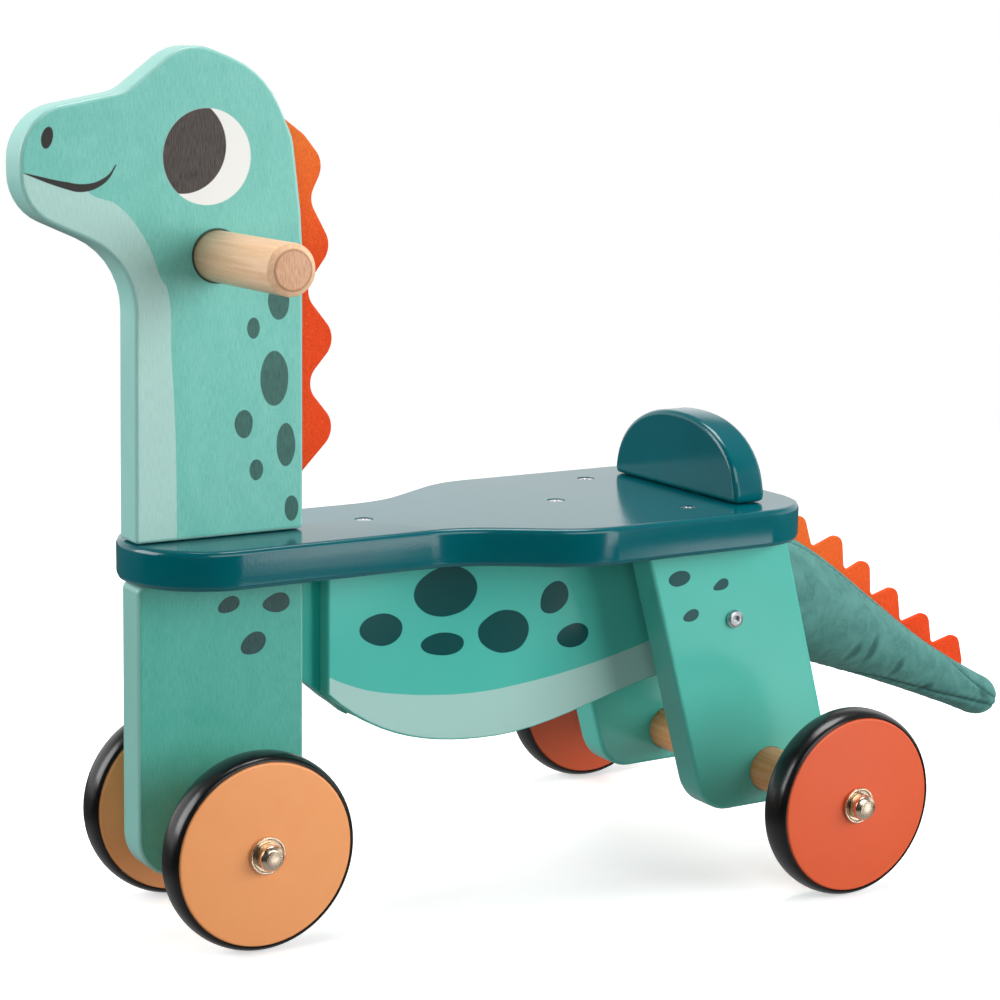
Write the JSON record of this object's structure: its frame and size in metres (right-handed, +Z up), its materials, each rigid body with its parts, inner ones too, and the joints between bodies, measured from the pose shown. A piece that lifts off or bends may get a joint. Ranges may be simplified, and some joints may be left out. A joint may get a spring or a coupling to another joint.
{
  "type": "ride-on dinosaur",
  "caption": "Wooden ride-on dinosaur: upright neck board with a cross handle, waisted seat with a low backrest, leaning rear legs, wheels on dowel axles and a stuffed tail.",
  "frame": {"origin": "on the floor, under the middle of the toy's bounding box", "axes": "+X to the dinosaur's left, +Y towards its tail, +Z up"},
  "size_m": [0.286, 0.6222, 0.4372],
  "materials": {
    "turquoise_wood": "matt turquoise stain and paint on plywood",
    "petrol_wood": "gloss petrol lacquer on plywood",
    "bare_beech": "clear satin varnish",
    "orange_wood": "satin light orange paint",
    "red_wood": "satin red-orange paint",
    "black_rubber": "smooth black rubber, slightly glossy",
    "zinc_steel": "zinc plated",
    "nickel": "nickel plated, polished",
    "orange_felt": "dense 3 mm felt, cut edges",
    "green_velvet": "short-pile velvet over stuffing"
  },
  "bodies": {
    "frame": {"neck_board": "turquoise_wood", "front_leg": "turquoise_wood", "rear_leg_left": "turquoise_wood", "rear_leg_right": "turquoise_wood", "belly_core": "turquoise_wood", "belly_left": "turquoise_wood", "belly_right": "turquoise_wood", "tail_block": "turquoise_wood", "seat": "petrol_wood", "backrest": "petrol_wood", "handle": "bare_beech", "front_axle_dowel": "bare_beech", "rear_axle_dowel": "bare_beech", "neck_dowel_front": "bare_beech", "neck_dowel_rear": "bare_beech", "back_dowel_left": "bare_beech", "back_dowel_right": "bare_beech", "hub_washer_front_left": "nickel", "axle_cap_front_left": "nickel", "hub_washer_front_right": "nickel", "axle_cap_front_right": "nickel", "hub_washer_rear_left": "nickel", "axle_cap_rear_left": "nickel", "hub_washer_rear_right": "nickel", "axle_cap_rear_right": "nickel", "front_axle_rod": "zinc_steel", "rear_axle_rod": "zinc_steel", "seat_screw_front": "zinc_steel", "seat_screw_middle": "zinc_steel", "seat_screw_rear_left": "zinc_steel", "seat_screw_rear_right": "zinc_steel", "leg_bolt_left": "nickel", "leg_bolt_right": "nickel", "neck_crest": "orange_felt", "tail_crest": "orange_felt", "tail": "green_velvet"},
    "wheel_front_left": {"wheel_disc_front_left": "orange_wood", "wheel_tyre_front_left": "black_rubber"},
    "wheel_front_right": {"wheel_disc_front_right": "orange_wood", "wheel_tyre_front_right": "black_rubber"},
    "wheel_rear_left": {"wheel_disc_rear_left": "red_wood", "wheel_tyre_rear_left": "black_rubber"},
    "wheel_rear_right": {"wheel_disc_rear_right": "red_wood", "wheel_tyre_rear_right": "black_rubber"}
  },
  "joints": [
    {"name": "wheel_front_left_spin", "type": "hinge", "parent": "frame", "child": "wheel_front_left", "pos_m": [0.049, -0.21, 0.05], "axis": [1, 0, 0], "continuous": true},
    {"name": "wheel_front_right_spin", "type": "hinge", "parent": "frame", "child": "wheel_front_right", "pos_m": [-0.049, -0.21, 0.05], "axis": [1, 0, 0], "continuous": true},
    {"name": "wheel_rear_left_spin", "type": "hinge", "parent": "frame", "child": "wheel_rear_left", "pos_m": [0.1253, 0.096, 0.05], "axis": [1, 0, 0], "continuous": true},
    {"name": "wheel_rear_right_spin", "type": "hinge", "parent": "frame", "child": "wheel_rear_right", "pos_m": [-0.1253, 0.096, 0.05], "axis": [1, 0, 0], "continuous": true}
  ]
}
